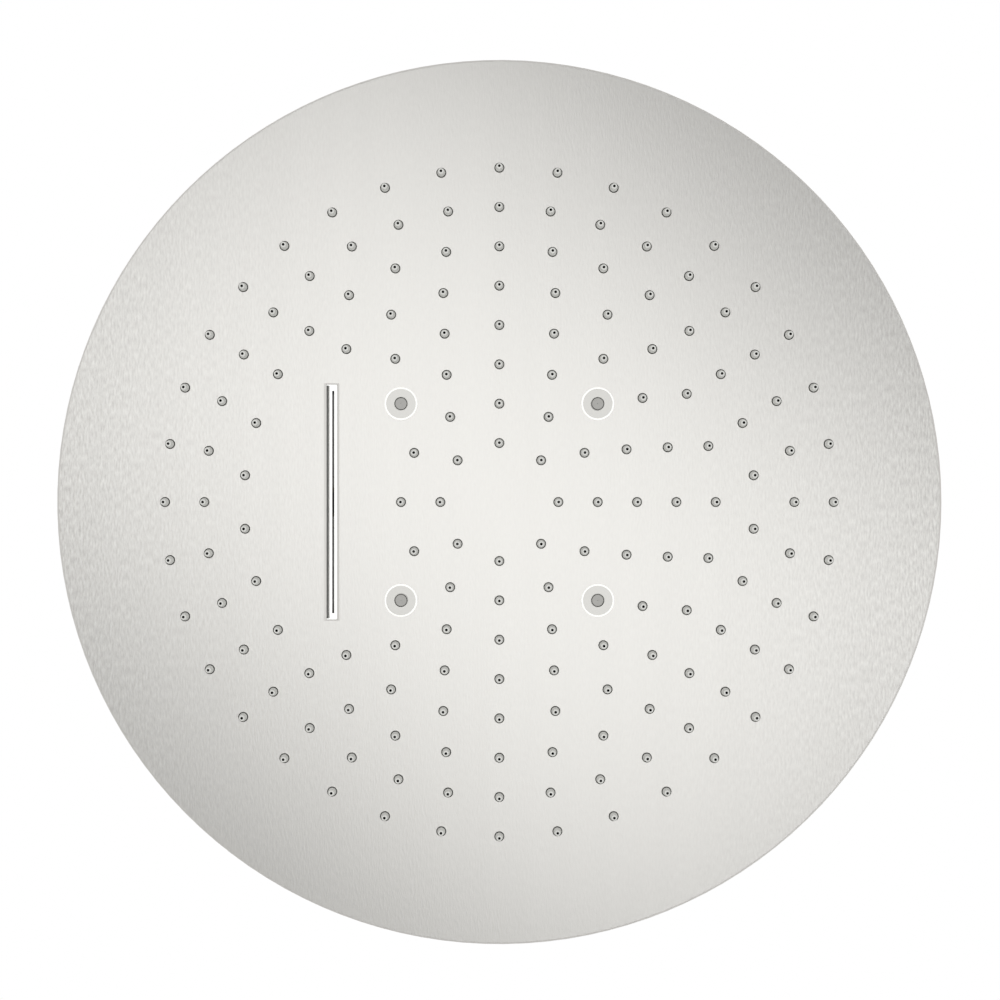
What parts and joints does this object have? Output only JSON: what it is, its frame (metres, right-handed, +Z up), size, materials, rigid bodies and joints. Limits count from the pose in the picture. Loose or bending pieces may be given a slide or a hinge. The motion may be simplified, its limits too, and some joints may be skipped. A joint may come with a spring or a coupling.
{
  "type": "recessed shower head",
  "caption": "Round recessed ceiling shower head: brushed steel disc face with a field of rubber rain nozzles, round mist nozzles and a waterfall slot, pan and hangers behind.",
  "frame": {"origin": "on the disc's axis, in the plane of the rain nozzle tips, the lowest points of the part", "axes": "+Z up into the ceiling, opposite to the water; -X towards the waterfall slot; the visible face looks along -Z"},
  "size_m": [0.4499, 0.45, 0.055],
  "materials": {
    "bracket_steel": "folded stainless sheet",
    "brass": "turned and stamped brass",
    "dark_plastic": "moulded acetal",
    "face_steel": "brushed stainless sheet, straight grain",
    "fastener_steel": "stainless fastener",
    "foam": "closed cell foam strip",
    "insert_plastic": "moulded acetal",
    "nozzle_silicone": "moulded light grey silicone",
    "pan_steel": "pressed stainless sheet, mill finish",
    "polished_steel": "mirror polished stainless strip",
    "rubber": "moulded rubber",
    "tube_steel": "drawn stainless tube",
    "turned_steel": "turned stainless, polished chamfer"
  },
  "bodies": {
    "root": {"face_plate": "face_steel", "rain_nozzles": "nozzle_silicone", "rain_gasket": "rubber", "rain_pan": "pan_steel", "rim_studs": "fastener_steel", "rim_washers": "fastener_steel", "rim_nuts": "fastener_steel", "waterfall_gasket": "rubber", "waterfall_bar": "dark_plastic", "waterfall_strip": "polished_steel", "waterfall_box": "pan_steel", "waterfall_studs": "fastener_steel", "waterfall_washers": "fastener_steel", "waterfall_nuts": "fastener_steel", "waterfall_inlet": "brass", "waterfall_inner_seal": "rubber", "waterfall_spacer_seal": "rubber", "waterfall_outer_seal": "rubber", "waterfall_lock_nut": "brass", "rain_inlet": "brass", "rain_inner_seal": "rubber", "rain_outer_seal": "rubber", "rain_lock_nut": "brass", "rain_diffuser": "insert_plastic", "mist_nozzle_1": "turned_steel", "mist_nozzle_2": "turned_steel", "mist_nozzle_3": "turned_steel", "mist_nozzle_4": "turned_steel", "mist_insert_1": "insert_plastic", "mist_insert_2": "insert_plastic", "mist_insert_3": "insert_plastic", "mist_insert_4": "insert_plastic", "mist_face_seals": "rubber", "mist_sleeves": "fastener_steel", "mist_pan_seals": "rubber", "mist_block_seals": "rubber", "mist_block_1": "brass", "mist_block_2": "brass", "mist_block_3": "brass", "mist_block_4": "brass", "mist_top_washers": "fastener_steel", "mist_cap_nuts": "fastener_steel", "mist_tube_1": "tube_steel", "mist_tube_2": "tube_steel", "mist_tube_3": "tube_steel", "mist_tube_4": "tube_steel", "mist_olives": "brass", "mist_tube_nuts": "brass", "mist_inlet_tee": "brass", "tee_studs": "fastener_steel", "tee_nuts": "fastener_steel", "stay_studs": "fastener_steel", "stay_sleeves": "fastener_steel", "stay_seals": "rubber", "stay_nuts": "fastener_steel", "hanger_bracket_1": "bracket_steel", "hanger_bracket_2": "bracket_steel", "hanger_bracket_3": "bracket_steel", "hanger_bracket_4": "bracket_steel", "ceiling_seal": "foam"}
  },
  "joints": []
}
